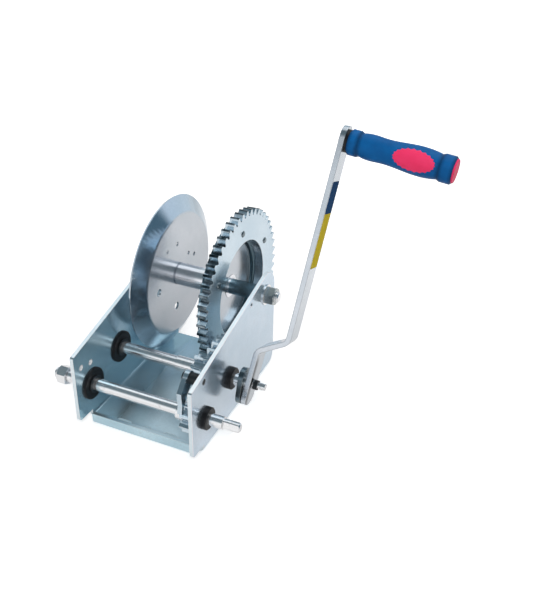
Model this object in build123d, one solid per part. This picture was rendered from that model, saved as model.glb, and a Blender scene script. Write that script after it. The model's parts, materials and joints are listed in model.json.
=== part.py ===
from build123d import *
import os
from math import acos, cos, pi, radians, sin, tan

# Two-speed hand winch. X runs along the shafts towards the crank, Y towards the back, Z up.
# The origin is the centre of the base's bolt pattern, on the underside of the base.

# Frame: one steel sheet bent into a channel with two side plates
SHEET = 5.0
INNER_HALF = 77.0
BEND_MIDDLE = 5.5
FRONT_Y = -119.0
FRONT_TOP = 107.5
FRONT_FOOT = 12.0
RELIEF_Y = -92.0
BACK_Y = 116.0
TOP_SLOPE = 0.2228
BACK_TOP_ROUND = 25.0
BACK_FOOT_ROUND = 24.0
FRONT_ROUND = 4.0
TONGUE_HALF = 69.0
LIP_FRONT = -105.0
LIP_TOP = 17.5
SLOT_LENGTH = 22.0
SLOT_WIDTH = 11.0
SLOT_SPACING = 66.0
CENTRE_HOLE_SPACING = 180.0
SMALL_HOLE = 3.0
LEFT_PLATE_HOLES = [(-105.0, 85.8), (-85.7, 81.6)]
RIGHT_PLATE_HOLE = (42.9, 134.8)

# Gear train: drum gear and its pinion, intermediate gear and lower pinion
PRESSURE_ANGLE = radians(25)
ADDENDUM = 0.9
DEDENDUM = 1.15
BACKLASH = 0.3
FLANK_STEPS = 3
DRUM_MODULE = 4.0
DRUM_TEETH = 52
DRUM_PINION_TEETH = 10
LOWER_MODULE = 4.0
INTERMEDIATE_TEETH = 24
LOWER_PINION_TEETH = 10

# Shaft axes as (Y, Z); the other two stand at their gear centre distance from the upper one
UPPER = (-19.0, 63.5)
DRUM_BEARING = 29.75
LOWER_BEARING = 191.9
DRUM_CENTRES = DRUM_MODULE * (DRUM_TEETH + DRUM_PINION_TEETH) / 2
LOWER_CENTRES = LOWER_MODULE * (INTERMEDIATE_TEETH + LOWER_PINION_TEETH) / 2

# Shafts, bushes and collars
SHAFT_R = 8.0
BUSH_FLANGE_R = 21.0
BUSH_FLANGE = 3.0
BUSH_R = 14.2
BUSH_OUTSIDE = 6.0
BUSH_EDGE = 1.0
FIT = 0.05
SNUG = 0.02
STUD_R = 6.25
STUD_FLATS = 10.0
SHOULDER_X = 106.2
UPPER_LEFT_X = -96.0
UPPER_STUD_X = 130.0
LOWER_LEFT_X = -130.5
LOWER_NUT_X = -112.2
LOWER_THREAD_X = -111.5
LOWER_STUD_X = 128.0
END_CHAMFER = 1.5
RING_X = -72.4
RING_THICK = 1.3
RING_GROOVE_R = 7.0
RING_R = 11.5
SLEEVE_X = (8.0, 35.2)
SLEEVE_R = 9.5
DRUM_PINION_X = (35.5, 53.0)
INTERMEDIATE_X = (60.0, 70.0)
INTERMEDIATE_HUB_X = (53.2, 73.7)
INTERMEDIATE_HUB_R = 15.0
LOWER_COLLAR_X = (46.5, 57.6)
LOWER_COLLAR_R = 12.0
LOWER_PINION_X = (57.8, 73.7)

# Fixed axle: bolt, nut, washers and the distance tube between the plates
AXLE_R = 7.0
HEX_FLATS = 22.0
HEX_TURN = 30.0
HEAD_HEIGHT = 8.8
NUT_HEIGHT = 12.8
NUT_ROUND = 1.6
WASHER_R = 13.8
WASHER = 1.5
BOLT_END_X = 101.0
TUBE_R = 9.0

# Drum: pressed flanges on a core tube, with a toothed ring riveted to the right flange;
# each rope hole is given by its circle's radius, its angle and its own radius
CORE_R = 15.5
CORE_X = (-49.0, 31.0)
NECK_R = 10.3
NECK_HALF = 76.7
FLANGE_SHEET = 3.0
LEFT_FLAT_X = -47.5
LEFT_FLAT_R = 84.5
LEFT_RIM_X = -59.5
LEFT_RIM_R = 106.0
LEFT_BEND = 7.0
WEB_X = 29.0
WEB_R = 62.0
DISC_X = 34.5
DISC_STEP_R = 63.8
DISC_R = 98.5
DISC_BEND = 2.5
RING_GEAR_X = (36.0, 48.0)
RING_GEAR_BORE = 66.0
RIVET_COUNT = 6
RIVET_FIRST = 29.0
RIVET_CIRCLE = 80.0
RIVET_R = 3.0
RIVET_HEAD_R = 4.5
RIVET_HEAD = 1.4
ROPE_HOLES = [(55.4, 181, 5.5), (46.7, 255, 5.5), (46.1, 94, 3.2), (32.0, 36, 3.2), (42.7, 13, 3.2),
              (54.7, 122, 2.6)]

# Crank: an offset flat bar; distances run along the bar from the shaft axis
CRANK_LEAN = 18.76
CRANK_WIDTH = 25.0
CRANK_SHEET = 6.5
CRANK_BEND = 11.0
LUG_EASE = 1.0
LUG_X = SHOULDER_X + CRANK_SHEET / 2 + LUG_EASE
LUG_TILT = 7.0
LUG_END = -28.5
LUG_TOP = 46.6
ARM_FOOT_X = 152.9
ARM_FOOT = 66.1
ARM_TOP = 325.5
ARM_TILT = 5.58
TIP_X = LUG_X + CRANK_SHEET / 2 + LUG_EASE
STUD_TIP_R = 4.3
HUB_X = (97.0, 103.3)
HUB_TOP = 18.0
CLIP_GAP = 0.3
CLIP_THICK = 5.0
CLIP_R = 6.2

# Grip: distances run outwards along the spindle from the middle of the bar
GRIP_HEIGHT = 309.0
SPINDLE_R = 5.0
SPINDLE_HEAD_R = 6.5
SPINDLE_HEAD = 3.0
RIVET_END_R = 8.0
RIVET_END = 2.5
SPACER_X = (3.3, 6.4)
SPACER_R = 13.0
GRIP_X = (6.8, 127.0)
GRIP_BORE_END = 112.5
COUNTERBORE_R = 7.05
NEAR_COLLAR_END = 17.5
NEAR_COLLAR_R = 14.8
FAR_COLLAR_START = 114.0
FAR_COLLAR_R = 15.6
BARREL = [(20.5, 13.2), (32.0, 14.7), (48.0, 14.0), (78.0, 16.0), (110.5, 14.0)]
COLLAR_EDGE = 1.5
PAD_X = 84.0
PAD_LENGTH = 48.0
PAD_HEIGHT = 24.5
PAD_POINTS = 22
PAD_NOTCH = 1.3
PAD_PROUD = 0.5
PAD_DEPTH = 1.6
PAD_REACH = 30.0
CAP_R = 13.5
CAP_THICK = 1.8
CAP_EDGE = 0.8
CAP_PLUG = 8.0

# Pawl in front of the lower pinion, drawn as engaged and shown swung clear; its nose is laid out
# by radius about the lower shaft and half its width, its edges as (Y, Z) from the pivot
PAWL_PIVOT = (-87.7, 104.2)
PAWL_X = (58.3, 64.3)
PAWL_SWING = 10.0
PAWL_BOSS_R = 9.0
PAWL_FRONT = [(-17.0, -30.7), (-21.5, -12.5), (-10.5, 3.5)]
PAWL_BACK = [(8.9, -1.5), (-6.0, -20.0)]
PAWL_PIN_R = 4.0
PAWL_PIN_HEAD_R = 6.5
PAWL_PIN_HEAD = 2.5
PAWL_SPACER_R = 7.0
PAWL_GAP = 0.3
PAWL_GAP_COUNT = 3.5
PAWL_TIP = (18.2, 1.2)
PAWL_ROOT = (23.5, 2.9)

# Clearance by which cutting tools overrun a face
CUT = 1.0

OUTER_HALF = INNER_HALF + SHEET
BACK_TOP = FRONT_TOP + TOP_SLOPE * (BACK_Y - FRONT_Y)


def polar(centre, radius, angle):
    """Point (Y, Z) at a radius and an angle in degrees from +Y towards +Z."""
    return (centre[0] + radius * cos(radians(angle)), centre[1] + radius * sin(radians(angle)))


DRUM = polar(UPPER, DRUM_CENTRES, DRUM_BEARING)
LOWER = polar(UPPER, LOWER_CENTRES, LOWER_BEARING)


def at(axis, solid):
    """Moves a solid made about X on to a shaft axis given as (Y, Z)."""
    return Pos(0, axis[0], axis[1]) * solid


def rod(x_low, x_high, radius):
    """Solid cylinder about X."""
    return Pos((x_low + x_high) / 2, 0, 0) * Rot(0, 90, 0) * Cylinder(radius, x_high - x_low)


def ring(x_low, x_high, bore, radius):
    """Plain tube or washer about X."""
    return rod(x_low, x_high, radius) - rod(x_low - CUT, x_high + CUT, bore)


def turned(*points):
    """Body turned about X from a closed outline of (x, radius) points."""
    return revolve(make_face(Polyline(*points, close=True)), Axis.X)


def pressed(bend, *points):
    """Pressed sheet disc about X from its middle line of (x, radius) points."""
    return revolve(trace(FilletPolyline(*points, radius=bend), FLANGE_SHEET), Axis.X)


def involute(angle):
    return tan(angle) - angle


def gear_outline(module, teeth, first_tooth):
    """Involute spur gear face with the middle of one tooth at first_tooth degrees."""
    pitch_r = module * teeth / 2
    base_r = pitch_r * cos(PRESSURE_ANGLE)
    root_r = pitch_r - DEDENDUM * module
    tip_r = pitch_r + ADDENDUM * module
    start_r = max(base_r, root_r)
    flank = [start_r + (tip_r - start_r) * step / FLANK_STEPS for step in range(FLANK_STEPS + 1)]
    if root_r < start_r:
        flank.insert(0, root_r)
    half_at_pitch = (pi / 2 - BACKLASH / (2 * module)) / teeth

    def half_angle(radius):
        return half_at_pitch + involute(PRESSURE_ANGLE) - involute(acos(min(1.0, base_r / radius)))

    points = []
    for tooth in range(teeth):
        middle = radians(first_tooth) + 2 * pi * tooth / teeth
        rising = [(radius, middle - half_angle(radius)) for radius in flank]
        falling = [(radius, middle + half_angle(radius)) for radius in reversed(flank)]
        points += [(radius * cos(angle), radius * sin(angle)) for radius, angle in rising + falling]
    return make_face(Polyline(*points, close=True))


def gear(module, teeth, first_tooth, x_range, bore):
    """Spur gear about X with a plain bore."""
    face = gear_outline(module, teeth, first_tooth)
    blank = extrude(Plane.YZ.offset(x_range[0]) * face, amount=x_range[1] - x_range[0])
    return blank - rod(x_range[0] - CUT, x_range[1] + CUT, bore)


def hexagon(x_low, x_high, rounding):
    """Hexagon along X with its outer corners turned off by a cone."""
    corner_r = HEX_FLATS / 2 / cos(pi / 6)
    section = RegularPolygon(corner_r, 6, rotation=HEX_TURN)
    prism = extrude(Plane.YZ.offset(x_low) * section, amount=x_high - x_low)
    run = rounding * (corner_r + CUT - HEX_FLATS / 2) / (corner_r - HEX_FLATS / 2)
    return prism & turned((x_low, 0), (x_low, corner_r + CUT), (x_high - run, corner_r + CUT),
                          (x_high, HEX_FLATS / 2), (x_high, 0))


def double_d(x_low, x_high, clearance):
    """Round stud with two flats, along the crank's own frame."""
    length = x_high - x_low
    flats = Pos((x_low + x_high) / 2, 0, 0) * Box(length, STUD_FLATS + 2 * clearance, 4 * STUD_R)
    return rod(x_low, x_high, STUD_R + clearance) & flats


def plate_outline():
    """Side plate seen along X, as (Y, Z)."""
    corners = [(FRONT_Y, FRONT_FOOT), (FRONT_Y, FRONT_TOP), (BACK_Y, BACK_TOP), (BACK_Y, 0),
               (RELIEF_Y, 0), (RELIEF_Y, FRONT_FOOT)]
    rounds = [FRONT_ROUND, FRONT_ROUND, BACK_TOP_ROUND, BACK_FOOT_ROUND, 0, 0]
    return make_face(FilletPolyline(*corners, radius=rounds, close=True))


def frame():
    """Channel of bent sheet with an upturned lip at the front and slots in its base."""
    middle_x = INNER_HALF + SHEET / 2
    middle_z = SHEET / 2
    section = FilletPolyline((-middle_x, BACK_TOP), (-middle_x, middle_z), (middle_x, middle_z),
                             (middle_x, BACK_TOP), radius=BEND_MIDDLE)
    channel = extrude(Plane.XZ * trace(section, SHEET), amount=-2 * FRONT_Y, both=True)
    body = channel & extrude(Plane.YZ * plate_outline(), amount=OUTER_HALF, both=True)
    lip_y = LIP_FRONT + SHEET / 2
    profile = FilletPolyline((BACK_Y, middle_z), (lip_y, middle_z), (lip_y, LIP_TOP), radius=BEND_MIDDLE)
    body += extrude(Plane.YZ * trace(profile, SHEET), amount=TONGUE_HALF, both=True)
    for axis in (UPPER, LOWER):
        body -= at(axis, rod(-OUTER_HALF - CUT, OUTER_HALF + CUT, BUSH_R + SNUG))
    body -= at(DRUM, rod(-OUTER_HALF - CUT, OUTER_HALF + CUT, AXLE_R + FIT))
    body -= at(PAWL_PIVOT, rod(INNER_HALF - CUT, OUTER_HALF + CUT, PAWL_PIN_R + SNUG))
    body -= at(RIGHT_PLATE_HOLE, rod(INNER_HALF - CUT, OUTER_HALF + CUT, SMALL_HOLE))
    for hole in LEFT_PLATE_HOLES:
        body -= at(hole, rod(-OUTER_HALF - CUT, -INNER_HALF + CUT, SMALL_HOLE))
    for side in (-1, 1):
        row_y = side * CENTRE_HOLE_SPACING / 2
        body -= Pos(0, row_y, 0) * Cylinder(SLOT_WIDTH / 2, 4 * SHEET)
        slot = Pos(side * SLOT_SPACING / 2, -CENTRE_HOLE_SPACING / 2) * SlotOverall(SLOT_LENGTH, SLOT_WIDTH)
        body -= extrude(slot, amount=SHEET + CUT)
    return body


def bush(side):
    """Flanged plastic bush, its flange inside the plate and its nose outside."""
    flange_x = INNER_HALF - BUSH_FLANGE
    nose_x = OUTER_HALF + BUSH_OUTSIDE
    outline = [(flange_x, SHAFT_R + FIT), (flange_x, BUSH_FLANGE_R - BUSH_EDGE),
               (flange_x + BUSH_EDGE, BUSH_FLANGE_R), (INNER_HALF, BUSH_FLANGE_R), (INNER_HALF, BUSH_R),
               (nose_x - BUSH_EDGE, BUSH_R), (nose_x, BUSH_R - BUSH_EDGE), (nose_x, SHAFT_R + FIT)]
    return turned(*[(side * x, radius) for x, radius in outline])


def axle_bolt():
    head_x = -OUTER_HALF - WASHER
    head = Rot(0, 180, 0) * hexagon(-head_x, -head_x + HEAD_HEIGHT, NUT_ROUND)
    shank = turned((head_x, 0), (head_x, AXLE_R), (BOLT_END_X - END_CHAMFER, AXLE_R),
                   (BOLT_END_X, AXLE_R - END_CHAMFER), (BOLT_END_X, 0))
    return head + shank


def axle_nut():
    x_low = OUTER_HALF + WASHER
    return hexagon(x_low, x_low + NUT_HEIGHT, NUT_ROUND) - rod(x_low - CUT, BOLT_END_X, AXLE_R + SNUG)


def axle_washers():
    bore = AXLE_R + FIT
    left = ring(-OUTER_HALF - WASHER, -OUTER_HALF, bore, WASHER_R)
    right = ring(OUTER_HALF, OUTER_HALF + WASHER, bore, WASHER_R)
    return [left, right]


def drum_core():
    """Tube that the rope winds on, with a thin neck at each end that reaches to the side plates."""
    bore = TUBE_R + FIT
    return turned((-NECK_HALF, bore), (-NECK_HALF, NECK_R), (CORE_X[0], NECK_R), (CORE_X[0], CORE_R),
                  (CORE_X[1], CORE_R), (CORE_X[1], NECK_R), (NECK_HALF, NECK_R), (NECK_HALF, bore))


def drum_flange_left():
    """Pressed disc whose rim flares outwards, with holes that tie down the rope's end."""
    disc = pressed(LEFT_BEND, (LEFT_FLAT_X, CORE_R + SNUG), (LEFT_FLAT_X, LEFT_FLAT_R),
                   (LEFT_RIM_X, LEFT_RIM_R))
    for circle, angle, radius in ROPE_HOLES:
        hole = rod(LEFT_FLAT_X - FLANGE_SHEET, LEFT_FLAT_X + FLANGE_SHEET, radius)
        disc -= at(polar((0, 0), circle, angle), hole)
    return disc


def rivet_spots():
    step = 360 / RIVET_COUNT
    return [polar((0, 0), RIVET_CIRCLE, RIVET_FIRST + step * turn) for turn in range(RIVET_COUNT)]


def with_rivet_holes(solid):
    for spot in rivet_spots():
        solid -= at(spot, rod(DISC_X - FLANGE_SHEET, RING_GEAR_X[1] + CUT, RIVET_R + SNUG))
    return solid


def drum_flange_right():
    """Pressed dish with a deep middle and a flat rim that carries the toothed ring."""
    dish = pressed(DISC_BEND, (WEB_X, CORE_R + SNUG), (WEB_X, WEB_R), (DISC_X, DISC_STEP_R),
                   (DISC_X, DISC_R))
    return with_rivet_holes(dish)


def drum_gear():
    """Toothed ring with a gap turned towards the drum pinion."""
    facing = DRUM_BEARING + 180
    first_tooth = facing + 180 / DRUM_TEETH
    return with_rivet_holes(gear(DRUM_MODULE, DRUM_TEETH, first_tooth, RING_GEAR_X, RING_GEAR_BORE))


def gear_rivets():
    left_x = DISC_X - FLANGE_SHEET / 2
    right_x = RING_GEAR_X[1]
    crown_r = RIVET_HEAD_R - RIVET_HEAD
    rivet = turned((left_x - RIVET_HEAD, 0), (left_x - RIVET_HEAD, crown_r), (left_x, RIVET_HEAD_R),
                   (left_x, RIVET_R), (right_x, RIVET_R), (right_x, RIVET_HEAD_R),
                   (right_x + RIVET_HEAD, crown_r), (right_x + RIVET_HEAD, 0))
    return [at(spot, rivet) for spot in rivet_spots()]


def retaining_groove():
    return ring(RING_X - RING_THICK, RING_X, RING_GROOVE_R, SHAFT_R + CUT)


def shaft(left_x, stud_x):
    """Plain shaft with a chamfered left end and a flatted stud on the right."""
    plain = turned((left_x, 0), (left_x, SHAFT_R - END_CHAMFER), (left_x + END_CHAMFER, SHAFT_R),
                   (SHOULDER_X, SHAFT_R), (SHOULDER_X, 0))
    stud_end = turned((SHOULDER_X, 0), (SHOULDER_X, STUD_R), (stud_x - END_CHAMFER, STUD_R),
                      (stud_x, STUD_R - END_CHAMFER), (stud_x, 0))
    stud = Rot(-CRANK_LEAN, 0, 0) * (double_d(SHOULDER_X, stud_x, 0) & stud_end)
    return plain + stud - retaining_groove()


def upper_shaft():
    """Shaft for the first speed, its stud turned down beyond the crank."""
    tip = ring(TIP_X, UPPER_STUD_X + CUT, STUD_TIP_R, SHAFT_R)
    return shaft(UPPER_LEFT_X, UPPER_STUD_X) - tip


def lower_shaft():
    """Shaft for the second speed, its left end turned down for a nut."""
    thread = ring(LOWER_LEFT_X - CUT, LOWER_THREAD_X, AXLE_R, SHAFT_R + CUT)
    return shaft(LOWER_LEFT_X, LOWER_STUD_X) - thread


def lower_shaft_nut():
    x_low = -LOWER_NUT_X
    x_high = x_low + NUT_HEIGHT
    return Rot(0, 180, 0) * (hexagon(x_low, x_high, NUT_ROUND) - rod(x_low - CUT, x_high + CUT, AXLE_R + SNUG))


def shaft_ring():
    return ring(RING_X - RING_THICK, RING_X, RING_GROOVE_R + SNUG, RING_R)


def drum_pinion():
    return gear(DRUM_MODULE, DRUM_PINION_TEETH, DRUM_BEARING, DRUM_PINION_X, SHAFT_R + SNUG)


def intermediate_gear():
    """Second-speed gear on the upper shaft, with a gap turned towards the lower pinion."""
    first_tooth = LOWER_BEARING + 180 / INTERMEDIATE_TEETH
    teeth = gear(LOWER_MODULE, INTERMEDIATE_TEETH, first_tooth, INTERMEDIATE_X, SHAFT_R + SNUG)
    return teeth + ring(*INTERMEDIATE_HUB_X, SHAFT_R + SNUG, INTERMEDIATE_HUB_R)


def lower_pinion():
    first_tooth = LOWER_BEARING - 180
    return gear(LOWER_MODULE, LOWER_PINION_TEETH, first_tooth, LOWER_PINION_X, SHAFT_R + SNUG)


def on_crank(solid):
    """Moves a solid from the crank's frame, its bar along Z, on to the leaning crank."""
    return at(UPPER, Rot(-CRANK_LEAN, 0, 0) * solid)


def lug_x(height):
    """X of the middle of the slightly tilted lug at a height along the crank."""
    return LUG_X + height * tan(radians(LUG_TILT))


def arm_x(height):
    """X of the middle of the long bar at a height along the crank."""
    return ARM_FOOT_X + (height - ARM_FOOT) * tan(radians(ARM_TILT))


def on_grip(solid):
    """Moves a solid made about X on to the spindle axis of the leaning crank."""
    return on_crank(Pos(arm_x(GRIP_HEIGHT), 0, GRIP_HEIGHT) * Rot(0, ARM_TILT, 0) * solid)


def bar_outline(low, high):
    """Round-ended outline of the bar's width between two heights along the crank."""
    return Pos(0, (low + high) / 2) * Rot(0, 0, 90) * SlotOverall(high - low, CRANK_WIDTH)


def crank_arm():
    """Flat bar with an offset between its lug and its long arm, rounded at both ends."""
    middle = FilletPolyline((lug_x(LUG_END), LUG_END), (lug_x(LUG_TOP), LUG_TOP), (ARM_FOOT_X, ARM_FOOT),
                            (arm_x(ARM_TOP), ARM_TOP), radius=CRANK_BEND)
    bar = extrude(Plane.XZ * trace(middle, CRANK_SHEET), amount=CRANK_WIDTH / 2, both=True)
    bar &= extrude(Plane.YZ * bar_outline(LUG_END, ARM_TOP), amount=arm_x(ARM_TOP) + CRANK_WIDTH)
    placed = on_crank(bar - double_d(SHOULDER_X - CUT, LUG_X + CRANK_SHEET, FIT))
    return placed - on_grip(rod(-CRANK_SHEET, CRANK_SHEET, SPINDLE_R + SNUG))


def crank_hub():
    """Round-ended block on the shaft behind the crank's lug."""
    block = extrude(Plane.YZ.offset(HUB_X[0]) * bar_outline(LUG_END, HUB_TOP), amount=HUB_X[1] - HUB_X[0])
    return on_crank(block - rod(HUB_X[0] - CUT, HUB_X[1] + CUT, SHAFT_R + SNUG))


def crank_clip():
    clip_x = TIP_X + CLIP_GAP
    return at(UPPER, ring(clip_x, clip_x + CLIP_THICK, STUD_TIP_R + SNUG, CLIP_R))


def grip_spindle():
    """Pin riveted through the bar, with a head that holds the grip on."""
    inner_x = -CRANK_SHEET / 2
    head_x = GRIP_BORE_END + SPINDLE_HEAD / 2
    outline = [(inner_x - RIVET_END, 0), (inner_x - RIVET_END, SPINDLE_R), (inner_x, RIVET_END_R),
               (inner_x, SPINDLE_R), (head_x, SPINDLE_R), (head_x, SPINDLE_HEAD_R),
               (head_x + SPINDLE_HEAD, SPINDLE_HEAD_R), (head_x + SPINDLE_HEAD, 0)]
    return on_grip(turned(*outline))


def barrel_line(growth):
    """Swelling line of the grip between its two necks, grown outwards."""
    return Spline(*[(x, radius + growth) for x, radius in BARREL])


def barrel(growth):
    line = barrel_line(growth)
    closing = Polyline(line @ 1, ((line @ 1).X, 0), ((line @ 0).X, 0), line @ 0)
    return revolve(make_face([line, closing]), Axis.X)


def pad_blank(side):
    """Oval block with a notched edge that reaches out of one side of the grip."""
    points = []
    for step in range(2 * PAD_POINTS):
        angle = pi * step / PAD_POINTS
        notch = PAD_NOTCH * (step % 2)
        points.append(((PAD_LENGTH / 2 - notch) * cos(angle), (PAD_HEIGHT / 2 - notch) * sin(angle)))
    oval = Pos(PAD_X, 0) * make_face(Polyline(*points, close=True))
    return extrude(Plane.XZ * oval, amount=-side * PAD_REACH)


def grip_sleeve():
    """Grip body with two collars, a swelling barrel and pockets for the pads."""
    start_x, end_x = GRIP_X
    line = barrel_line(0)
    before = Polyline(line @ 0, (NEAR_COLLAR_END, NEAR_COLLAR_R), (start_x + COLLAR_EDGE, NEAR_COLLAR_R),
                      (start_x, NEAR_COLLAR_R - COLLAR_EDGE), (start_x, 0))
    after = Polyline(line @ 1, (FAR_COLLAR_START, FAR_COLLAR_R), (end_x - COLLAR_EDGE, FAR_COLLAR_R),
                     (end_x, FAR_COLLAR_R - COLLAR_EDGE), (end_x, 0), (start_x, 0))
    body = revolve(make_face([before, line, after]), Axis.X)
    body -= rod(start_x - CUT, end_x, SPINDLE_R + FIT)
    body -= rod(GRIP_BORE_END, end_x + CUT, COUNTERBORE_R)
    for side in (-1, 1):
        body -= pad_blank(side) - barrel(-PAD_DEPTH)
    return on_grip(body)


def grip_pads():
    """Notched oval pads let into the front and back of the grip, standing a little proud."""
    skin = barrel(PAD_PROUD) - barrel(-PAD_DEPTH)
    return [on_grip(pad_blank(side) & skin) for side in (-1, 1)]


def grip_end_cap():
    end_x = GRIP_X[1]
    plug_r = COUNTERBORE_R - FIT
    outside_x = end_x + CAP_THICK
    return on_grip(turned((end_x - CAP_PLUG, 0), (end_x - CAP_PLUG, plug_r), (end_x, plug_r), (end_x, CAP_R),
                          (outside_x - CAP_EDGE, CAP_R), (outside_x, CAP_R - CAP_EDGE), (outside_x, 0)))


def pawl():
    """Hanging lever whose nose swings into a gap at the front of the lower pinion."""
    gap_angle = LOWER_BEARING - 180 + PAWL_GAP_COUNT * 360 / LOWER_PINION_TEETH

    def nose(place, side):
        foot = polar(LOWER, place[0], gap_angle)
        return polar(foot, side * place[1], gap_angle + 90)

    edges = [(PAWL_PIVOT[0] + y, PAWL_PIVOT[1] + z) for y, z in PAWL_FRONT + PAWL_BACK]
    outline = [nose(PAWL_TIP, -1), nose(PAWL_TIP, 1), nose(PAWL_ROOT, 1), *edges, nose(PAWL_ROOT, -1)]
    lever = make_face(Polyline(*outline, close=True))
    body = extrude(Plane.YZ.offset(PAWL_X[0]) * lever, amount=PAWL_X[1] - PAWL_X[0])
    body += at(PAWL_PIVOT, rod(*PAWL_X, PAWL_BOSS_R))
    body -= at(PAWL_PIVOT, rod(PAWL_X[0] - CUT, PAWL_X[1] + CUT, PAWL_PIN_R + FIT))
    return at(PAWL_PIVOT, Rot(-PAWL_SWING, 0, 0) * at((-PAWL_PIVOT[0], -PAWL_PIVOT[1]), body))


def pawl_pin():
    """Pin riveted into the right plate, with a shoulder behind the pawl and a head before it."""
    head_x = PAWL_X[0] - PAWL_GAP
    shoulder_x = PAWL_X[1] + PAWL_GAP
    return at(PAWL_PIVOT, turned((head_x - PAWL_PIN_HEAD, 0), (head_x - PAWL_PIN_HEAD, PAWL_PIN_HEAD_R),
                                 (head_x, PAWL_PIN_HEAD_R), (head_x, PAWL_PIN_R), (shoulder_x, PAWL_PIN_R),
                                 (shoulder_x, PAWL_SPACER_R), (INNER_HALF, PAWL_SPACER_R),
                                 (INNER_HALF, PAWL_PIN_R), (OUTER_HALF, PAWL_PIN_R), (OUTER_HALF, 0)))


def save(name, solids):
    export_step(Compound(children=solids) if len(solids) > 1 else solids[0], f"parts/{name}.step")


def on_axis(axis, solids):
    return [at(axis, solid) for solid in solids]


def build_frame():
    save("frame", [frame()])
    for row, axis in (("upper", UPPER), ("lower", LOWER)):
        save(f"bush_{row}_left", [at(axis, bush(-1))])
        save(f"bush_{row}_right", [at(axis, bush(1))])
    save("axle_bolt", [at(DRUM, axle_bolt())])
    save("axle_nut", [at(DRUM, axle_nut())])
    save("axle_washers", on_axis(DRUM, axle_washers()))
    save("distance_tube", [at(DRUM, ring(-INNER_HALF, INNER_HALF, AXLE_R + FIT, TUBE_R))])
    save("pawl_pin", [pawl_pin()])


def build_drum():
    save("drum_core", [at(DRUM, drum_core())])
    save("drum_flange_left", [at(DRUM, drum_flange_left())])
    save("drum_flange_right", [at(DRUM, drum_flange_right())])
    save("drum_gear", [at(DRUM, drum_gear())])
    save("gear_rivets", on_axis(DRUM, gear_rivets()))


def build_shafts():
    save("upper_shaft", [at(UPPER, upper_shaft())])
    save("upper_shaft_ring", [at(UPPER, shaft_ring())])
    save("pinion_sleeve", [at(UPPER, ring(*SLEEVE_X, SHAFT_R + SNUG, SLEEVE_R))])
    save("drum_pinion", [at(UPPER, drum_pinion())])
    save("intermediate_gear", [at(UPPER, intermediate_gear())])
    save("lower_shaft", [at(LOWER, lower_shaft())])
    save("lower_shaft_ring", [at(LOWER, shaft_ring())])
    save("lower_collar", [at(LOWER, ring(*LOWER_COLLAR_X, SHAFT_R + SNUG, LOWER_COLLAR_R))])
    save("lower_pinion", [at(LOWER, lower_pinion())])
    save("lower_shaft_nut", [at(LOWER, lower_shaft_nut())])
    save("pawl", [pawl()])


def build_crank():
    save("crank_arm", [crank_arm()])
    save("crank_clip", [crank_clip()])
    save("crank_hub", [crank_hub()])
    save("grip_spindle", [grip_spindle()])
    save("grip_spacer", [on_grip(ring(*SPACER_X, SPINDLE_R + SNUG, SPACER_R))])
    save("grip_sleeve", [grip_sleeve()])
    save("grip_pads", grip_pads())
    save("grip_end_cap", [grip_end_cap()])


os.makedirs("parts", exist_ok=True)
build_frame()
build_drum()
build_shafts()
build_crank()
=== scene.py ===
import json
import math

import bmesh
import bpy
from mathutils import Matrix, Vector


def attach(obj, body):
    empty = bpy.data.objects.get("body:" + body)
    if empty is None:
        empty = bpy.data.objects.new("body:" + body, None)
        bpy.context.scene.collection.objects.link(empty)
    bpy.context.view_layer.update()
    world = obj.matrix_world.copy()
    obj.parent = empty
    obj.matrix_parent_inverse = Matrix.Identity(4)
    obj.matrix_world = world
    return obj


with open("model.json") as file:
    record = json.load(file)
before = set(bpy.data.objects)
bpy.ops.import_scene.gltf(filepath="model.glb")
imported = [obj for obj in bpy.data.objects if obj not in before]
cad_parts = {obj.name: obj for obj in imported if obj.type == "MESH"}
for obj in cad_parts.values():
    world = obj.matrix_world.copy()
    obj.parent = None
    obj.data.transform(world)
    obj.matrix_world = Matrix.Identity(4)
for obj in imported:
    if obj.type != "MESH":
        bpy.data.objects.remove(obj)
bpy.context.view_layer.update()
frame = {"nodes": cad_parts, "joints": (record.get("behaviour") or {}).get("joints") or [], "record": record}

NODES = frame["nodes"]
JOINTS = {joint["child"]: joint for joint in frame["joints"]}
SCENE = bpy.context.scene

# Camera, fitted to the object's own edges for an image of 552 by 600
IMAGE = (552, 600)
CAMERA_PLACE = (0.44827, -0.76523, 0.69415)
CAMERA_AZIMUTH = 23.41
CAMERA_ELEVATION = 31.70
CAMERA_ROLL = 1.07
FOCAL_PIXELS = 834.96
AXIS_PIXEL = (263.66, 297.50)
SENSOR = 36.0
CLIP_START = 0.01

# Axes along X, as (Y, Z)
DRUM_AXIS = JOINTS["drum"]["pos_m"][1:]
UPPER_AXIS = JOINTS["upper_shaft"]["pos_m"][1:]
LOWER_AXIS = JOINTS["lower_shaft"]["pos_m"][1:]

# Crank, from the grip's axis, which stands square on the middle of its long bar. Lean and tilt are in radians
GRIP_X, GRIP_Y, GRIP_Z = JOINTS["grip"]["pos_m"]
GRIP_HEIGHT = math.hypot(GRIP_Y - UPPER_AXIS[0], GRIP_Z - UPPER_AXIS[1])
CRANK_LEAN = math.atan2(GRIP_Y - UPPER_AXIS[0], GRIP_Z - UPPER_AXIS[1])
ARM_TILT = math.acos(JOINTS["grip"]["axis"][0])
ARM_HALF_SHEET = 0.00325


def crank_place():
    """Frame on the upper shaft's axis: X along the shaft, Z up along the leaning crank."""
    return Matrix.Translation((0.0, *UPPER_AXIS)) @ Matrix.Rotation(-CRANK_LEAN, 4, "X")


def arm_place(height):
    """Frame on the middle of the crank's long bar: X out of the bar's outer side, Z along the bar."""
    shift = GRIP_X + (height - GRIP_HEIGHT) * math.tan(ARM_TILT)
    return crank_place() @ Matrix.Translation((shift, 0.0, height)) @ Matrix.Rotation(ARM_TILT, 4, "Y")


# Node helpers

WHITE = (1.0, 1.0, 1.0)
BEVEL_SAMPLES = 4


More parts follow.
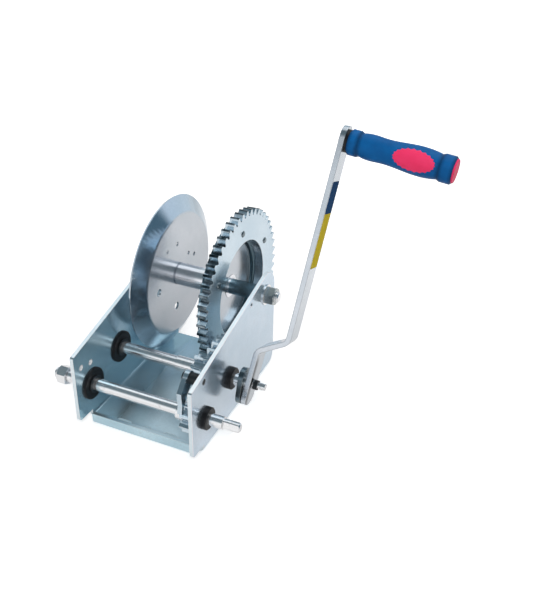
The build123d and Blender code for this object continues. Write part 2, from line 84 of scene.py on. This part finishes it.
class Tree:
    """Short ways to add nodes to a node tree. Plain tuples that are fed to sockets are colours."""

    def __init__(self, tree):
        self.tree = tree

    def add(self, kind, **settings):
        node = self.tree.nodes.new(kind)
        for key, value in settings.items():
            setattr(node, key, value)
        return node

    def link(self, source, target):
        self.tree.links.new(source, target)

    def feed(self, socket, value):
        """Links an output to a socket, or sets the socket to a plain value."""
        if isinstance(value, bpy.types.NodeSocket):
            self.link(value, socket)
        else:
            socket.default_value = (*value, 1.0) if isinstance(value, tuple) else value

    def axes(self, of="Object"):
        """The X, Y and Z of a point, or those of another output of Texture Coordinate."""
        node = self.add("ShaderNodeSeparateXYZ")
        self.link(self.add("ShaderNodeTexCoord").outputs[of], node.inputs[0])
        return [node.outputs[axis] for axis in "XYZ"]

    def maths(self, operation, *values):
        node = self.add("ShaderNodeMath", operation=operation)
        for socket, value in zip(node.inputs, values):
            self.feed(socket, value)
        return node.outputs["Value"]

    def product(self, first, *others):
        for other in others:
            first = self.maths("MULTIPLY", first, other)
        return first

    def ramp(self, value, low, high, start=0.0, end=1.0):
        """Maps a value from start..end to low..high, clamped."""
        node = self.add("ShaderNodeMapRange")
        node.inputs["From Min"].default_value = start
        node.inputs["From Max"].default_value = end
        node.inputs["To Min"].default_value = low
        node.inputs["To Max"].default_value = high
        self.link(value, node.inputs["Value"])
        return node.outputs["Result"]

    def rise(self, value, start, end):
        """From nought at the start to one at the end."""
        return self.ramp(value, 0.0, 1.0, start, end)

    def fall(self, value, start, end):
        """From one at the start to nought at the end."""
        return self.ramp(value, 1.0, 0.0, start, end)

    def rays(self):
        """Masks that are one for rays from the eye, and for rays from mirrors and glass."""
        path = self.add("ShaderNodeLightPath")
        mirrored = self.maths("MAXIMUM", path.outputs["Is Glossy Ray"], path.outputs["Is Transmission Ray"])
        return path.outputs["Is Camera Ray"], mirrored


class Paint(Tree):
    """A material under construction: its node tree, its shader and short ways to texture it."""

    def __init__(self, name):
        self.material = bpy.data.materials.new(name)
        self.material.use_nodes = True
        super().__init__(self.material.node_tree)
        self.shader = self.tree.nodes["Principled BSDF"]
        self.place = self.add("ShaderNodeTexCoord").outputs["Object"]

    def set(self, **values):
        for key, value in values.items():
            self.feed(self.shader.inputs[key.replace("_", " ")], value)

    def stretched(self, factors):
        node = self.add("ShaderNodeMapping")
        node.inputs["Scale"].default_value = factors
        self.link(self.place, node.inputs["Vector"])
        return node.outputs["Vector"]

    def noise(self, scale, detail, stretch=None):
        node = self.add("ShaderNodeTexNoise")
        node.inputs["Scale"].default_value = scale
        node.inputs["Detail"].default_value = detail
        self.link(self.stretched(stretch) if stretch else self.place, node.inputs["Vector"])
        return node.outputs["Fac"]

    def cells(self, scale):
        node = self.add("ShaderNodeTexVoronoi")
        node.inputs["Scale"].default_value = scale
        self.link(self.place, node.inputs["Vector"])
        return node.outputs["Color"]

    def mix(self, factor, first, second, blend="MIX"):
        node = self.add("ShaderNodeMix", data_type="RGBA", blend_type=blend)
        for socket, value in (("Factor", factor), ("A", first), ("B", second)):
            self.feed(node.inputs[socket], value)
        return node.outputs["Result"]

    def bevelled(self, radius):
        """Normal of the surface with its sharp edges rounded off."""
        node = self.add("ShaderNodeBevel", samples=BEVEL_SAMPLES)
        node.inputs["Radius"].default_value = radius
        return node.outputs["Normal"]

    def edges(self, radius, start, end):
        """One along sharp edges within a radius, nought on flat faces."""
        dot = self.add("ShaderNodeVectorMath", operation="DOT_PRODUCT")
        self.link(self.bevelled(radius), dot.inputs[0])
        self.link(self.add("ShaderNodeNewGeometry").outputs["Normal"], dot.inputs[1])
        return self.rise(dot.outputs["Value"], start, end)

    def bump(self, height, strength, distance, edge_radius=0.0):
        node = self.add("ShaderNodeBump")
        node.inputs["Strength"].default_value = strength
        node.inputs["Distance"].default_value = distance
        self.link(height, node.inputs["Height"])
        if edge_radius:
            self.link(self.bevelled(edge_radius), node.inputs["Normal"])
        self.link(node.outputs["Normal"], self.shader.inputs["Normal"])

    def across(self, of="Object"):
        """Distance to either side along X, of a point or of the surface's Normal."""
        return self.maths("ABSOLUTE", self.axes(of)[0])

    def radius(self, axis):
        """Distance of a point from an axis along X, given by its Y and Z."""
        offsets = [self.maths("SUBTRACT", place, centre) for place, centre in zip(self.axes()[1:], axis)]
        squares = [self.maths("MULTIPLY", offset, offset) for offset in offsets]
        return self.maths("POWER", self.maths("ADD", *squares), 0.5)

    def along(self, base, axis):
        """Distance of a point along one axis of a placed frame."""
        direction = base.col[axis].to_3d()
        node = self.add("ShaderNodeVectorMath", operation="DOT_PRODUCT")
        self.link(self.place, node.inputs[0])
        node.inputs[1].default_value = direction
        return self.maths("SUBTRACT", node.outputs["Value"], base.translation.dot(direction))

    def varied(self, texture, middle, spread):
        """Moves a value away from its middle by a texture, as far as the two ends of the spread."""
        low, high = (middle + end for end in spread)
        return self.ramp(texture, low, high)

    def retint(self, mask, tint, blend="MULTIPLY"):
        """Changes the colour that is already on the shader where the mask is one."""
        clean = self.shader.inputs["Base Color"].links[0].from_socket
        self.set(Base_Color=self.mix(mask, clean, tint, blend))

    def dull(self, mask, roughness, metallic):
        """Where the mask is one, adds to the roughness on the shader and replaces its metallic."""
        smooth = self.shader.inputs["Roughness"].links[0].from_socket
        bright = self.shader.inputs["Metallic"].default_value
        self.set(Roughness=self.maths("ADD", smooth, self.product(mask, roughness)),
                 Metallic=self.ramp(mask, bright, metallic))


# Plain finishes

PLATE_METALLIC = 0.92
FLANGE_METALLIC = 0.96
BAR_METALLIC = 0.90
ZINC_SPREAD = (-0.05, 0.07)
ZINC_STAIN = (0.36, 0.42, 0.45)
ZINC_EDGE_SHARE = 0.7
STEEL_SPREAD = (-0.04, 0.06)
STEEL_DULL = 0.88
STEEL_MARK = 0.6
STEEL_MARK_ROUGHNESS = 0.15
MOULDED_SPREAD = (-0.06, 0.08)
RUBBED_SHARE = 0.45
RUBBED_GAIN = 1.5
RUBBED_LIFT = 0.02


def zinc(name, light, dark, roughness, edge_light=0.9, edge_radius=0.0006, metallic=PLATE_METALLIC):
    """Bright zinc plate: cloudy blue-grey metal with rolling lines, small stains, and edges of their own
    colour: pale and bare by default, and where the edge colour is darker, as on the crank's bar, a painted
    dark reflection.
    """
    paint = Paint(name)
    clouds = paint.rise(paint.noise(scale=16.0, detail=4.0), start=0.35, end=0.65)
    spangle = paint.ramp(paint.cells(scale=420.0), low=0.96, high=1.03)
    stains = paint.ramp(paint.noise(scale=130.0, detail=6.0), low=0.0, high=0.22, start=0.62, end=0.74)
    edge_zone = paint.edges(radius=0.0012, start=0.97, end=0.72)
    lines = paint.noise(scale=60.0, detail=3.0, stretch=(1.0, 1.0, 24.0))
    smears = paint.ramp(paint.noise(scale=34.0, detail=3.0), low=-0.04, high=0.05)
    colour = paint.mix(1.0, paint.mix(clouds, dark, light), spangle, "MULTIPLY")
    colour = paint.mix(stains, colour, ZINC_STAIN)
    # Edges in the edge colour: bare metal, or a painted dark reflection where that colour is dark
    colour = paint.mix(paint.product(edge_zone, ZINC_EDGE_SHARE), colour, (edge_light,) * 3)
    rough = paint.maths("ADD", paint.varied(lines, roughness, ZINC_SPREAD), smears)
    paint.set(Base_Color=colour, Roughness=rough, Metallic=metallic)
    grain = paint.maths("ADD", paint.noise(scale=900.0, detail=2.0), paint.ramp(lines, low=0.0, high=0.6))
    paint.bump(grain, strength=0.10, distance=0.0002, edge_radius=edge_radius)
    return paint


def turned_steel(name, colour, roughness):
    """Bright drawn bar: fine lathe lines round it, a few handling marks, sharper gloss."""
    paint = Paint(name)
    lathe = paint.noise(scale=25.0, detail=4.0, stretch=(90.0, 1.0, 1.0))
    marks = paint.ramp(paint.noise(scale=150.0, detail=5.0), low=0.0, high=0.5, start=0.6, end=0.75)
    clouds = paint.ramp(paint.noise(scale=40.0, detail=3.0), low=0.0, high=1.0)
    shade = paint.mix(clouds, tuple(STEEL_DULL * c for c in colour), colour)
    shade = paint.mix(marks, shade, tuple(STEEL_MARK * c for c in colour))
    rough = paint.varied(lathe, roughness, STEEL_SPREAD)
    rough = paint.maths("ADD", rough, paint.product(marks, STEEL_MARK_ROUGHNESS))
    paint.set(Base_Color=shade, Roughness=rough, Metallic=BAR_METALLIC)
    paint.bump(lathe, strength=0.12, distance=0.0001, edge_radius=0.0004)
    return paint


def moulded(name, light, dark, roughness, grain_scale, grain, gloss=0.28):
    """Moulded plastic or rubber: fine grain, cloudy colour, edges rubbed paler."""
    paint = Paint(name)
    clouds = paint.rise(paint.noise(scale=70.0, detail=4.0), start=0.3, end=0.7)
    rubbed = paint.edges(radius=0.0010, start=0.98, end=0.75)
    pale = tuple(min(1.0, RUBBED_GAIN * c + RUBBED_LIFT) for c in light)
    colour = paint.mix(paint.product(rubbed, RUBBED_SHARE), paint.mix(clouds, dark, light), pale)
    rough = paint.varied(paint.noise(scale=120.0, detail=4.0), roughness, MOULDED_SPREAD)
    paint.set(Base_Color=colour, Roughness=rough, Specular_IOR_Level=gloss)
    pebbles = paint.noise(scale=grain_scale, detail=2.0)
    paint.bump(pebbles, strength=grain, distance=0.0003, edge_radius=0.0006)
    return paint


# Finishes with wear, and with painted light or shade, of their own. A place with two numbers is where these
# fade in or out

# Drum: radii of the gear's tooth lands, roots and rim, radii of the flange's flat and recess, and X of the
# core's two ends
GEAR_LANDS = (0.1062, 0.1072)
GEAR_ROOTS = (0.0998, 0.1006)
GEAR_RIM = (0.0970, 0.0975)
FLANGE_FLAT = (0.0830, 0.0860)
RECESS_WALL = (0.0598, 0.0608)
CORE_START = (-0.0452, -0.0438)
CORE_END = (0.0315, 0.0325)
# Near-black painted on the tooth lands, and painted shade in the roots between the teeth
GEAR_DARK_TEETH = (0.012, 0.028, 0.038)
# Warmer tone painted on the flange's flat middle: a painted reflection
FLAT_REFLECTION_TINT = (1.13, 1.0, 0.94)
FLAT_ROUGHER = 0.06
FLAT_METALLIC = 0.80
# Painted shade on the wall of the dish's recess
RECESS_SHADE = (0.16, 0.24, 0.27)
# Painted shade on the core where it meets the left flange, and beyond the toothed flange
CORE_START_SHADE = (0.52, 0.55, 0.59)
CORE_END_SHADE = (0.38, 0.54, 0.60)

# Frame: X of the dust and painted light on top and of the left plate, distances of both plates' edges and
# outer faces from the middle, the left plate's two small holes as (Y, Z), and radii of the painted light
# round them
DUST_AND_LIGHT_ACROSS = (-0.045, 0.005)
LEFT_PLATE = (-0.0765, -0.0700)
PLATE_EDGE = (0.0764, 0.0770)
OUTER_FACES = (0.0812, 0.0818)
PLATE_HOLES = ((-0.1050, 0.0858), (-0.0857, 0.0816))
HOLE_LIGHT = (0.0036, 0.0046)
DUSTY_METALLIC = 0.76
DUST_MATT = 0.56
# Painted: light on top with the dust, a reflection tint on the outer faces, highlights on the cut edges, and
# light round the holes
DUST_AND_LIGHT_TINT = (1.32, 1.30, 1.30)
OUTER_REFLECTION_TINT = (1.13, 0.985, 1.0)
EDGE_HIGHLIGHT_TINT = (1.34, 1.13, 1.07)
HOLE_LIGHT_MATT = 0.60
HOLE_LIGHT_COLOUR = (0.95, 0.95, 0.95)

# Crank: the painted dark reflection on its foot, across and up the bar
STREAK_ACROSS = (-0.0085, -0.0030)
STREAK_TOP = (0.0300, 0.0440)
STREAK_SHARE = 0.85
STREAK_COLOUR = (0.02, 0.025, 0.03)

# Grip: the places along it where shade is painted, in the grooves beside its collars and at its ends, and the
# distance from them
GRIP_GROOVES = (0.0068, 0.0190, 0.1122, 0.1270)
GROOVE_FADE = (0.0002, 0.0044)
GROOVE_SHADE = (0.45, 0.45, 0.45)


def dark_toothed_gear(name, **look):
    """Zinc plate on a gear whose tooth lands and roots are painted near-black in patches; in the roots this
    is painted shade between the teeth.
    """
    paint = zinc(name, **look)
    radius = paint.radius(DRUM_AXIS)
    round_faces = paint.fall(paint.across("Normal"), start=0.4, end=0.8)
    roots = paint.product(round_faces, paint.fall(radius, *GEAR_ROOTS), paint.rise(radius, *GEAR_RIM))
    dark_teeth = paint.maths("MAXIMUM", paint.rise(radius, *GEAR_LANDS), roots)
    patches = paint.ramp(paint.noise(scale=90.0, detail=3.0), low=0.55, high=1.0, start=0.3, end=0.6)
    # Paints the lands near-black, and painted shade into the roots
    paint.retint(paint.product(dark_teeth, patches), GEAR_DARK_TEETH, "MIX")
    return paint


def flange_with_warm_flat(name, **look):
    """Zinc plate whose flat middle is painted warmer, a painted reflection, and made rougher and less
    metallic, inside a bluer rim.
    """
    paint = zinc(name, **look, metallic=FLANGE_METALLIC)
    flat = paint.fall(paint.radius(DRUM_AXIS), *FLANGE_FLAT)
    # Painted reflection: the flat middle tinted warmer
    paint.retint(flat, FLAT_REFLECTION_TINT)
    paint.dull(flat, FLAT_ROUGHER, FLAT_METALLIC)
    return paint


def dish_with_shaded_recess(name, **look):
    """Flange with its warm flat middle, and painted shade on the wall round its recess, on the side of the
    toothed ring.
    """
    paint = flange_with_warm_flat(name, **look)
    outward = paint.rise(paint.axes("Normal")[0], start=-0.3, end=0.0)
    wall = paint.product(outward, paint.rise(paint.radius(DRUM_AXIS), *RECESS_WALL))
    # Painted shade on the recess wall
    paint.retint(wall, RECESS_SHADE)
    return paint


def core_with_painted_shade(name, **look):
    """Bright drum core, with painted shade beyond the toothed flange and painted grey shade where it meets
    the other one.
    """
    paint = turned_steel(name, **look)
    # Painted shade on the core inside the toothed flange's recess, and where it meets the left flange
    paint.retint(paint.rise(paint.axes()[0], *CORE_END), CORE_END_SHADE)
    paint.retint(paint.fall(paint.axes()[0], *CORE_START), CORE_START_SHADE)
    return paint


def sheet_with_painted_light(name, **look):
    """Zinc sheet: matt dust and painted light on top, more so on the right, a painted reflection tint on the
    outer faces, and painted highlights on the cut edges and round the holes.
    """
    paint = zinc(name, **look)
    upward = paint.rise(paint.axes("Normal")[2], start=0.8, end=0.95)
    dust_and_light = paint.product(upward, paint.rise(paint.axes()[0], *DUST_AND_LIGHT_ACROSS))
    hole_light = paint.maths("MAXIMUM", *(paint.fall(paint.radius(hole), *HOLE_LIGHT) for hole in PLATE_HOLES))
    hole_light = paint.product(hole_light, paint.fall(paint.axes()[0], *LEFT_PLATE))
    cut_faces = paint.fall(paint.across("Normal"), start=0.3, end=0.6)
    edges = paint.product(cut_faces, paint.rise(paint.across(), *PLATE_EDGE))
    matt = paint.maths("ADD", paint.product(dust_and_light, DUST_MATT), paint.product(hole_light, HOLE_LIGHT_MATT))
    thin_dust = paint.ramp(upward, PLATE_METALLIC, DUSTY_METALLIC)
    paint.set(Metallic=paint.maths("SUBTRACT", thin_dust, matt))
    # Painted light on top, with the matt dust, more so on the right
    paint.retint(dust_and_light, DUST_AND_LIGHT_TINT)
    # Painted reflection: the outer faces less blue
    paint.retint(paint.rise(paint.across(), *OUTER_FACES), OUTER_REFLECTION_TINT)
    # Painted highlights on the cut edges
    paint.retint(edges, EDGE_HIGHLIGHT_TINT)
    # Painted light round the two holes, near white
    paint.retint(hole_light, HOLE_LIGHT_COLOUR, "MIX")
    return paint


def bar_with_dark_reflection(name, **look):
    """Zinc bar with a painted dark reflection on its outer face beside the hub, along the front edge."""
    paint = zinc(name, **look)
    outer_face = paint.rise(paint.axes("Normal")[0], start=0.80, end=0.95)
    front = paint.fall(paint.along(crank_place(), 1), *STREAK_ACROSS)
    foot = paint.fall(paint.along(crank_place(), 2), *STREAK_TOP)
    # Painted dark reflection on the bar's outer face
    paint.retint(paint.product(outer_face, front, foot, STREAK_SHARE), STREAK_COLOUR, "MIX")
    return paint


def grip_with_groove_shade(name, **look):
    """Moulded rubber with painted shade in the grooves beside its collars and at its ends."""
    paint = moulded(name, **look)
    along = paint.along(arm_place(GRIP_HEIGHT), 0)
    offsets = [paint.maths("SUBTRACT", along, groove) for groove in GRIP_GROOVES]
    nearest, *others = (paint.maths("ABSOLUTE", offset) for offset in offsets)
    for gap in others:
        nearest = paint.maths("MINIMUM", nearest, gap)
    # Painted shade in the grooves and at the ends
    paint.retint(paint.fall(nearest, *GROOVE_FADE), GROOVE_SHADE)
    return paint


FLANGE_LOOK = dict(light=(0.52, 0.61, 0.69), dark=(0.455, 0.555, 0.635), roughness=0.11)
BRIGHT_STEEL = turned_steel("bright_steel", colour=(0.87, 0.87, 0.88), roughness=0.17)
# Dark zinc: on the crank's hub it is painted shade, for the shade behind the crank's foot; the gear's rivets
# take the same
SHADE_DARK_ZINC = zinc("hub_zinc", light=(0.20, 0.25, 0.27), dark=(0.13, 0.17, 0.19), roughness=0.20,
                 edge_light=0.4)

# By the material slot in the record
FINISHES = {
    "zinc_sheet": sheet_with_painted_light("zinc_sheet", light=(0.54, 0.70, 0.77), dark=(0.46, 0.63, 0.71),
                               roughness=0.19),
    "gear_steel": zinc("gear_zinc", light=(0.58, 0.67, 0.73), dark=(0.48, 0.58, 0.65), roughness=0.18),
    "bright_steel": BRIGHT_STEEL,
    "black_steel": moulded("black_steel", light=(0.018, 0.024, 0.028), dark=(0.009, 0.013, 0.016),
                           roughness=0.36, grain_scale=1200.0, grain=0.15),
    "black_plastic": moulded("black_plastic", light=(0.009, 0.009, 0.010), dark=(0.005, 0.005, 0.006),
                             roughness=0.42, grain_scale=1400.0, grain=0.2),
    "blue_grip": grip_with_groove_shade("blue_grip", light=(0.005, 0.122, 0.37), dark=(0.003, 0.096, 0.30),
                              roughness=0.40, grain_scale=1500.0, grain=0.25, gloss=0.10),
    "red_pad": moulded("red_pad", light=(0.95, 0.040, 0.16), dark=(0.90, 0.030, 0.13),
                       roughness=0.5, grain_scale=1800.0, grain=0.3),
}

# By node, where one differs from others in its slot
OWN_FINISHES = {
    "drum_gear": dark_toothed_gear("drum_gear_zinc", light=(0.57, 0.67, 0.74), dark=(0.50, 0.61, 0.69),
                              roughness=0.18),
    "drum_core": core_with_painted_shade("core_steel", colour=(0.85, 0.85, 0.88), roughness=0.17),
    "drum_flange_left": flange_with_warm_flat("flange_zinc", **FLANGE_LOOK),
    "drum_flange_right": dish_with_shaded_recess("dish_zinc", **FLANGE_LOOK),
    # The crank's bar has its edges painted darker, a painted dark reflection on its rounded edges
    "crank_arm": bar_with_dark_reflection("bar_zinc", light=(0.59, 0.62, 0.66), dark=(0.52, 0.56, 0.60), roughness=0.15,
                             edge_light=0.5, edge_radius=0.0018),
    # The hub's dark zinc is painted shade
    "crank_hub": SHADE_DARK_ZINC,
    "axle_nut": zinc("nut_zinc", light=(0.46, 0.48, 0.48), dark=(0.37, 0.40, 0.40), roughness=0.13,
                     metallic=FLANGE_METALLIC),
    "gear_rivets": SHADE_DARK_ZINC,
}

for row in frame["record"]["subparts"]:
    finish = OWN_FINISHES.get(row["node"], FINISHES[row["material_slot"]])
    slots = NODES[row["node"]].data.materials
    slots.clear()
    slots.append(finish.material)


# Added pieces: a plain sticker on the crank and threads on the bolt ends

def new_piece(name, bm, paint, body, place=None):
    """Turns a mesh under construction into a piece that rides a body."""
    mesh = bpy.data.meshes.new(name)
    bmesh.ops.recalc_face_normals(bm, faces=bm.faces)
    bm.to_mesh(mesh)
    bm.free()
    mesh.materials.append(paint.material)
    piece = bpy.data.objects.new(name, mesh)
    SCENE.collection.objects.link(piece)
    if place:
        piece.matrix_world = place
    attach(piece, body)


def join_rings(bm, rings):
    """Faces between each ring of vertices and the next."""
    for lower, upper in zip(rings, rings[1:]):
        for near in range(len(lower)):
            far = (near + 1) % len(lower)
            bm.faces.new((lower[near], lower[far], upper[far], upper[near]))


# Sticker: its two ends and the line between its colours as heights along the crank, then its shape and
# colours. Its side stands upright for a share of its thickness
STICKER = (0.159, 0.263)
STICKER_SPLIT = 0.225
STICKER_BLUR = 0.0001
STICKER_HALF = 0.0112
STICKER_CORNER = 0.002
STICKER_THICK = 0.00015
STICKER_SIDE = 0.6
CORNER_STEPS = 5
YELLOW = (0.75, 0.58, 0.03)
YELLOW_FADED = (0.80, 0.65, 0.08)
BLUE = (0.005, 0.058, 0.17)
BLUE_FADED = (0.014, 0.078, 0.20)


def rounded_box(half_width, low, high, corner):
    """Outline (across, along) of a rectangle with rounded corners."""
    left, right = corner - half_width, half_width - corner
    bottom, top = low + corner, high - corner
    points = []
    for quarter, (across, along) in enumerate(((right, top), (left, top), (left, bottom), (right, bottom))):
        for step in range(CORNER_STEPS + 1):
            angle = math.radians(90.0 * (quarter + step / CORNER_STEPS))
            points.append((across + corner * math.cos(angle), along + corner * math.sin(angle)))
    return points


def sticker_film(split):
    """Printed film: blue above a line across it and yellow below, faded and lightly creased."""
    paint = Paint("sticker_film")
    upper = paint.rise(paint.axes()[2], split - STICKER_BLUR, split + STICKER_BLUR)
    faded = paint.ramp(paint.noise(scale=60.0, detail=4.0), low=0.0, high=0.3, start=0.4, end=0.7)
    colour = paint.mix(upper, paint.mix(faded, YELLOW, YELLOW_FADED), paint.mix(faded, BLUE, BLUE_FADED))
    rough = paint.ramp(paint.noise(scale=180.0, detail=3.0), low=0.5, high=0.65)
    paint.set(Base_Color=colour, Roughness=rough, Specular_IOR_Level=0.02)
    paint.bump(paint.noise(scale=220.0, detail=3.0), strength=0.1, distance=0.0002)
    return paint


def sticker():
    """Thin plain label in two colours on the outer side of the crank."""
    middle = sum(STICKER) / 2
    outline = rounded_box(STICKER_HALF, STICKER[0] - middle, STICKER[1] - middle, STICKER_CORNER)
    bm = bmesh.new()
    rings = []
    for lift, inset in ((0.0, 0.0), (STICKER_THICK * STICKER_SIDE, 0.0), (STICKER_THICK, STICKER_THICK)):
        height = ARM_HALF_SHEET + lift
        shrink = 1.0 - inset / STICKER_HALF
        rings.append([bm.verts.new((height, across * shrink, along - math.copysign(inset, along)))
                      for across, along in outline])
    join_rings(bm, rings)
    bm.faces.new(rings[-1])
    bm.faces.new(rings[0])
    film = sticker_film(STICKER_SPLIT - middle)
    new_piece("crank_sticker", bm, film, "upper_shaft", place=arm_place(middle))


# Threads: X of both, from where the pitch is counted, then their radii and how finely they are divided
AXLE_THREAD = (0.0964, 0.0994)
SHAFT_THREAD = (-0.1252, -0.1290)
THREAD_PITCH = 0.002
THREAD_ROOT = 0.00702
THREAD_CREST = 0.00745
THREAD_CORE = 0.0066
THREAD_SIDES = 32
THREAD_STEPS = 8


def thread(name, axis, start, end, body):
    """Helical ridge round a bolt end between two places along X, closed down to the bolt at both ends."""
    rows = int(abs(end - start) / THREAD_PITCH * THREAD_STEPS) + 1
    bm = bmesh.new()
    rings = []
    for row in range(-1, rows + 1):
        along = start + (end - start) * min(max(row, 0), rows - 1) / (rows - 1)
        ring = []
        for side in range(THREAD_SIDES):
            turn = side / THREAD_SIDES
            phase = (abs(along - start) / THREAD_PITCH + turn) % 1.0
            ridge = THREAD_ROOT + (THREAD_CREST - THREAD_ROOT) * (1.0 - abs(2.0 * phase - 1.0))
            radius = ridge if 0 <= row < rows else THREAD_CORE
            angle = 2.0 * math.pi * turn
            across, above = radius * math.cos(angle), radius * math.sin(angle)
            ring.append(bm.verts.new((along, axis[0] + across, axis[1] + above)))
        rings.append(ring)
    join_rings(bm, rings)
    new_piece(name, bm, BRIGHT_STEEL, body)


sticker()
thread("axle_thread", DRUM_AXIS, *AXLE_THREAD, "frame")
thread("lower_shaft_thread", LOWER_AXIS, *SHAFT_THREAD, "lower_shaft")


# Stage: a pale floor that ends beside the winch, so that the crank can swing past it to a lower one

FLOOR_TOP = -0.0002
FLOOR_EDGE = 0.098
FLOOR_REACH = 6.0
LOWER_FLOOR = -0.34
CARD_COLOUR = (0.82, 0.82, 0.82)
CARD_ROUGHNESS = 0.9

# Y between which mirrors see the card change, and distances between which it turns white to the eye
MIRROR_FADE = (0.40, 0.85)
WHITE_FADE = (0.45, 0.90)


def white_card(name, eye_lift, mirror_near, mirror_far):
    """White card that takes the object's shadow. To the eye it is lifted, and plain white further off.
    In mirrors it has a lift of its own, near and far."""
    paint = Paint(name)
    seen, mirrored = paint.rays()
    distance = paint.add("ShaderNodeVectorMath", operation="LENGTH")
    paint.link(paint.place, distance.inputs[0])
    to_eye = paint.ramp(distance.outputs["Value"], eye_lift, 1.0, *WHITE_FADE)
    to_mirror = paint.product(mirrored, paint.ramp(paint.axes()[1], mirror_near, mirror_far, *MIRROR_FADE))
    paint.set(Base_Color=CARD_COLOUR, Roughness=CARD_ROUGHNESS, Emission_Color=WHITE,
              Emission_Strength=paint.maths("MULTIPLY_ADD", seen, to_eye, to_mirror))
    return paint


def flat_sheet(name, right_edge, height, paint):
    """Level sheet that ends at the right edge and reaches far out on the other sides."""
    mesh = bpy.data.meshes.new(name)
    corners = [(-FLOOR_REACH, -FLOOR_REACH, height), (right_edge, -FLOOR_REACH, height),
               (right_edge, FLOOR_REACH, height), (-FLOOR_REACH, FLOOR_REACH, height)]
    mesh.from_pydata(corners, [], [(0, 1, 2, 3)])
    mesh.materials.append(paint.material)
    sheet = bpy.data.objects.new(name, mesh)
    SCENE.collection.objects.link(sheet)
    return sheet


FLOOR = flat_sheet("floor", FLOOR_EDGE, FLOOR_TOP,
                   white_card("white_card", eye_lift=0.55, mirror_near=0.32, mirror_far=0.32))
LOWER = flat_sheet("lower_floor", FLOOR_REACH, LOWER_FLOOR,
                   white_card("white_backdrop", eye_lift=0.95, mirror_near=0.26, mirror_far=0.64))


# Light: a white room and four soft boxes, two high at the back, one low at the front, and a key lamp that
# mirrors don't see

ROOM_STRENGTH = 0.32

# What mirrors see of the room: shades of the front and back walls by the sine of the height above the
# horizon, and one shade on the right. The walls meet by the Y of the direction, the right side by its X
DARK_CEILING = (0.10, 0.16, 0.19)
BACK_MIDDLE = (0.44, 0.56, 0.63)
FRONT_SHADES = [(0.001, (0.80, 0.81, 0.83)), (0.20, (0.62, 0.66, 0.69)), (0.42, (0.36, 0.42, 0.46)),
                (0.62, DARK_CEILING), (0.999, DARK_CEILING)]
BACK_SHADES = [(0.001, (0.90, 0.95, 1.0)), (0.20, (0.82, 0.90, 1.0)), (0.36, BACK_MIDDLE),
               (0.70, BACK_MIDDLE), (0.95, DARK_CEILING), (0.999, DARK_CEILING)]
SIDE_SHADE = (0.09, 0.17, 0.23)
WALL_FADE = (0.2, -0.2)
SIDE_FADE = (0.71, 0.79)


def white_room():
    """World that is white to the eye, even and dim as a light, and graded in mirrors."""
    world = bpy.data.worlds.new("white_room")
    SCENE.world = world
    world.use_nodes = True
    world.node_tree.nodes.clear()
    room = Tree(world.node_tree)
    aside, behind, height = room.axes("Generated")
    seen, mirrored = room.rays()

    def background(colour=WHITE, strength=1.0):
        node = room.add("ShaderNodeBackground")
        room.feed(node.inputs["Color"], colour)
        node.inputs["Strength"].default_value = strength
        return node.outputs[0]

    def wall(shades):
        node = room.add("ShaderNodeValToRGB")
        stops = node.color_ramp.elements
        for position, shade in shades:
            stops.new(position).color = (*shade, 1.0)
        for spare in (0, -1):
            stops.remove(stops[spare])
        room.link(height, node.inputs["Fac"])
        return background(node.outputs["Color"])

    def choose(factor, first, second):
        node = room.add("ShaderNodeMixShader")
        for socket, source in zip(node.inputs, (factor, first, second)):
            room.link(source, socket)
        return node.outputs[0]

    walls = choose(room.rise(behind, *WALL_FADE), wall(BACK_SHADES), wall(FRONT_SHADES))
    walls = choose(room.rise(aside, *SIDE_FADE), walls, background(SIDE_SHADE))
    lit = choose(mirrored, background(strength=ROOM_STRENGTH), walls)
    output = room.add("ShaderNodeOutputWorld")
    room.link(choose(seen, lit, background()), output.inputs["Surface"])


SOFT_BOXES = {
    "box_back_left": dict(place=(-0.62, 0.46, 1.40), target=(-0.62, 0.0, 0.1), size=(1.34, 0.95), power=3.0),
    "box_back_right": dict(place=(0.72, 0.46, 1.40), target=(0.72, 0.0, 0.1), size=(1.34, 0.95), power=6.6),
    "box_front": dict(place=(0.0, -1.45, 0.36), target=(0.0, 0.0, 0.1), size=(2.7, 0.75), power=2.6),
    "box_key": dict(place=(0.55, -1.30, 1.45), target=(0.05, 0.0, 0.15), size=(0.8, 0.8), power=13.0,
                    in_mirrors=False),
}


def soft_box(name, place, target, size, power, in_mirrors=True):
    data = bpy.data.lights.new(name, "AREA")
    data.shape = "RECTANGLE"
    data.size, data.size_y = size
    data.energy = power
    lamp = bpy.data.objects.new(name, data)
    SCENE.collection.objects.link(lamp)
    lamp.location = place
    lamp.rotation_mode = "QUATERNION"
    lamp.rotation_quaternion = (Vector(target) - Vector(place)).to_track_quat("-Z", "Y")
    lamp.visible_glossy = in_mirrors


white_room()
for box, settings in SOFT_BOXES.items():
    soft_box(box, **settings)


# Camera

def aim_camera():
    azimuth, elevation, roll = (math.radians(a) for a in (CAMERA_AZIMUTH, CAMERA_ELEVATION, CAMERA_ROLL))
    back = Vector((math.sin(azimuth) * math.cos(elevation), -math.cos(azimuth) * math.cos(elevation),
                   math.sin(elevation)))
    level = Vector((math.cos(azimuth), math.sin(azimuth), 0.0))
    upright = back.cross(level)
    right = math.cos(roll) * level + math.sin(roll) * upright
    up = -math.sin(roll) * level + math.cos(roll) * upright
    data = bpy.data.cameras.new("camera")
    data.sensor_fit = "AUTO"
    data.sensor_width = SENSOR
    data.lens = FOCAL_PIXELS / max(IMAGE) * SENSOR
    data.shift_x = (IMAGE[0] / 2 - AXIS_PIXEL[0]) / max(IMAGE)
    data.shift_y = (AXIS_PIXEL[1] - IMAGE[1] / 2) / max(IMAGE)
    data.clip_start = CLIP_START
    camera = bpy.data.objects.new("camera", data)
    SCENE.collection.objects.link(camera)
    turn = Matrix((right, up, back)).transposed().to_4x4()
    camera.matrix_world = Matrix.Translation(CAMERA_PLACE) @ turn
    SCENE.camera = camera


aim_camera()
SCENE.view_settings.view_transform = "Standard"
